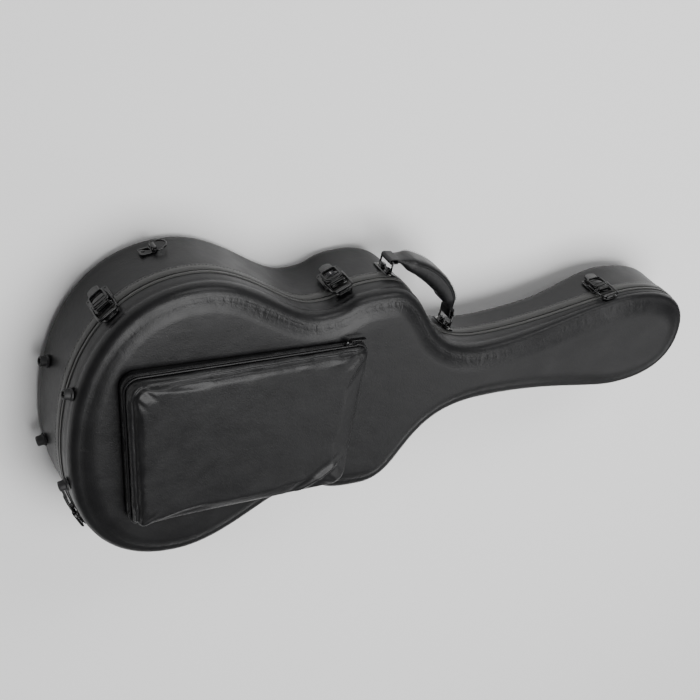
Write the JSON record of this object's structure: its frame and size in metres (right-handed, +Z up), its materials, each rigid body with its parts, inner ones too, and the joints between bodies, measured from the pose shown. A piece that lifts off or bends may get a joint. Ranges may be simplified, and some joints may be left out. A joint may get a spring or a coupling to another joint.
{
  "type": "guitar case",
  "caption": "Hard-shell classical guitar case with hinged lid, lever latches, side handle, strap rings and a zipped lid pocket.",
  "frame": {"origin": "on the flat back the case lies on, midway across, 0.2 m from the tail end of the shell", "axes": "+X from the tail towards the head, +Y towards the side with the handle, +Z up from the back to the lid"},
  "size_m": [1.0803, 0.4798, 0.1954],
  "materials": {
    "leatherette": "embossed, satin",
    "edge_strip": "smooth, satin",
    "gasket_rubber": "matte",
    "foot_rubber": "matte",
    "plush": "short pile",
    "zip_nylon": "woven",
    "bright_metal": "nickel plated",
    "black_metal": "gloss black plated"
  },
  "bodies": {
    "base": {"accessory_box": "plush", "base_lining": "plush", "base_rim_band": "edge_strip", "base_shell": "leatherette", "foot_base_handle_side": "foot_rubber", "foot_base_hinge_side": "foot_rubber", "handle_bracket_head": "black_metal", "handle_bracket_tail": "black_metal", "hinge_base_leaf_lower": "black_metal", "hinge_base_leaf_upper": "black_metal", "hinge_pin_lower": "black_metal", "hinge_pin_upper": "black_metal", "latch_plate_1": "black_metal", "latch_plate_2": "black_metal", "latch_plate_3": "black_metal", "latch_plate_4": "black_metal", "neck_cradle": "plush", "rim_gasket": "gasket_rubber", "strap_anchor_handle_side": "black_metal", "strap_anchor_hinge_side": "black_metal"},
    "lid": {"foot_lid_handle_side": "foot_rubber", "foot_lid_hinge_side": "foot_rubber", "hinge_lid_leaf_lower": "black_metal", "hinge_lid_leaf_upper": "black_metal", "latch_keeper_1": "black_metal", "latch_keeper_2": "black_metal", "latch_keeper_3": "black_metal", "latch_keeper_4": "black_metal", "lid_lining": "plush", "lid_rim_bead": "edge_strip", "lid_shell": "leatherette", "pocket_front": "leatherette", "pocket_gusset": "leatherette", "zipper_chain": "zip_nylon"},
    "handle_ring_tail": {"handle_ring_tail": "black_metal"},
    "handle_grip": {"handle_grip": "leatherette"},
    "handle_ring_head": {"handle_ring_head": "black_metal"},
    "strap_ring_handle_side": {"strap_ring_handle_side": "black_metal"},
    "strap_ring_hinge_side": {"strap_ring_hinge_side": "black_metal"},
    "zipper_slider": {"zipper_slider": "black_metal"},
    "zipper_pull": {"zipper_pull": "black_metal"},
    "accessory_lid": {"accessory_lid": "plush", "accessory_pull_tab": "leatherette"},
    "lock_barrel": {"lock_barrel": "bright_metal"},
    "lever_1": {"latch_lever_1": "black_metal"},
    "bail_1": {"latch_bail_1": "black_metal"},
    "lever_2": {"latch_lever_2": "black_metal"},
    "bail_2": {"latch_bail_2": "black_metal"},
    "lever_3": {"latch_lever_3": "black_metal"},
    "bail_3": {"latch_bail_3": "black_metal"},
    "lever_4": {"latch_lever_4": "black_metal"},
    "bail_4": {"latch_bail_4": "black_metal"}
  },
  "joints": [
    {"name": "lid_hinge", "type": "hinge", "parent": "base", "child": "lid", "pos_m": [-0.01337, -0.23302, 0.108], "axis": [0.9838, 0.1795, 0], "range_deg": [0, 105]},
    {"name": "lever_1_hinge", "type": "hinge", "parent": "base", "child": "lever_1", "pos_m": [-0.14579, 0.18769, 0.1], "axis": [0.7549, 0.6558, 0], "range_deg": [0, 115]},
    {"name": "bail_1_hinge", "type": "hinge", "parent": "lever_1", "child": "bail_1", "pos_m": [-0.14579, 0.18769, 0.088], "axis": [0.7549, 0.6558, 0], "range_deg": [-135, 0]},
    {"name": "lever_2_hinge", "type": "hinge", "parent": "base", "child": "lever_2", "pos_m": [0.20213, 0.1752, 0.1], "axis": [0.9031, 0.4294, 0], "range_deg": [0, 115]},
    {"name": "bail_2_hinge", "type": "hinge", "parent": "lever_2", "child": "bail_2", "pos_m": [0.20213, 0.1752, 0.088], "axis": [0.9031, 0.4294, 0], "range_deg": [-135, 0]},
    {"name": "lever_3_hinge", "type": "hinge", "parent": "base", "child": "lever_3", "pos_m": [0.70396, 0.08991, 0.1], "axis": [0.9899, 0.1419, 0], "range_deg": [0, 115]},
    {"name": "bail_3_hinge", "type": "hinge", "parent": "lever_3", "child": "bail_3", "pos_m": [0.70396, 0.08991, 0.088], "axis": [0.9899, 0.1419, 0], "range_deg": [-135, 0]},
    {"name": "lever_4_hinge", "type": "hinge", "parent": "base", "child": "lever_4", "pos_m": [-0.17133, -0.1532, 0.1], "axis": [-0.4987, 0.8668, 0], "range_deg": [0, 115]},
    {"name": "bail_4_hinge", "type": "hinge", "parent": "lever_4", "child": "bail_4", "pos_m": [-0.17133, -0.1532, 0.088], "axis": [-0.4987, 0.8668, 0], "range_deg": [-135, 0]},
    {"name": "lock_turn", "type": "hinge", "parent": "lever_2", "child": "lock_barrel", "pos_m": [0.20449, 0.17023, 0.082], "axis": [-0.4294, 0.9031, 0], "range_deg": [0, 90]},
    {"name": "handle_ring_tail_hinge", "type": "hinge", "parent": "base", "child": "handle_ring_tail", "pos_m": [0.28964, 0.17771, 0.085], "axis": [0, 0, 1], "range_deg": [-60, 35]},
    {"name": "handle_grip_hinge", "type": "hinge", "parent": "handle_ring_tail", "child": "handle_grip", "pos_m": [0.29124, 0.19363, 0.085], "axis": [0, 0, 1], "range_deg": [-35, 60]},
    {"name": "handle_ring_head_hinge", "type": "hinge", "parent": "base", "child": "handle_ring_head", "pos_m": [0.41471, 0.06484, 0.085], "axis": [0, 0, 1], "range_deg": [-60, 35]},
    {"name": "strap_ring_handle_side_hinge", "type": "hinge", "parent": "base", "child": "strap_ring_handle_side", "pos_m": [-0.05705, 0.23202, 0.04], "axis": [0, 0, 1], "range_deg": [0, 150]},
    {"name": "strap_ring_hinge_side_hinge", "type": "hinge", "parent": "base", "child": "strap_ring_hinge_side", "pos_m": [-0.05705, -0.23202, 0.04], "axis": [0, 0, -1], "range_deg": [0, 150]},
    {"name": "zipper_slide", "type": "slide", "parent": "lid", "child": "zipper_slider", "axis": [-0.9994, 0.0295, 0.0188], "range_m": [0, 0.3]},
    {"name": "zipper_pull_hinge", "type": "hinge", "parent": "zipper_slider", "child": "zipper_pull", "pos_m": [0.19624, 0.1185, 0.16814], "axis": [0.0188, -0.0006, 0.9998], "range_deg": [0, 150]},
    {"name": "accessory_lid_hinge", "type": "hinge", "parent": "base", "child": "accessory_lid", "pos_m": [0.54, 0.025, 0.0743], "axis": [-1, 0, 0], "range_deg": [0, 70]}
  ],
  "couplings": [
    {"joint": "bail_1_hinge", "follows": "lever_1_hinge", "ratio": -1.15},
    {"joint": "bail_2_hinge", "follows": "lever_2_hinge", "ratio": -1.15},
    {"joint": "bail_3_hinge", "follows": "lever_3_hinge", "ratio": -1.15},
    {"joint": "bail_4_hinge", "follows": "lever_4_hinge", "ratio": -1.15},
    {"joint": "handle_grip_hinge", "follows": "handle_ring_tail_hinge", "ratio": -1},
    {"joint": "handle_ring_head_hinge", "follows": "handle_ring_tail_hinge", "ratio": 1}
  ]
}
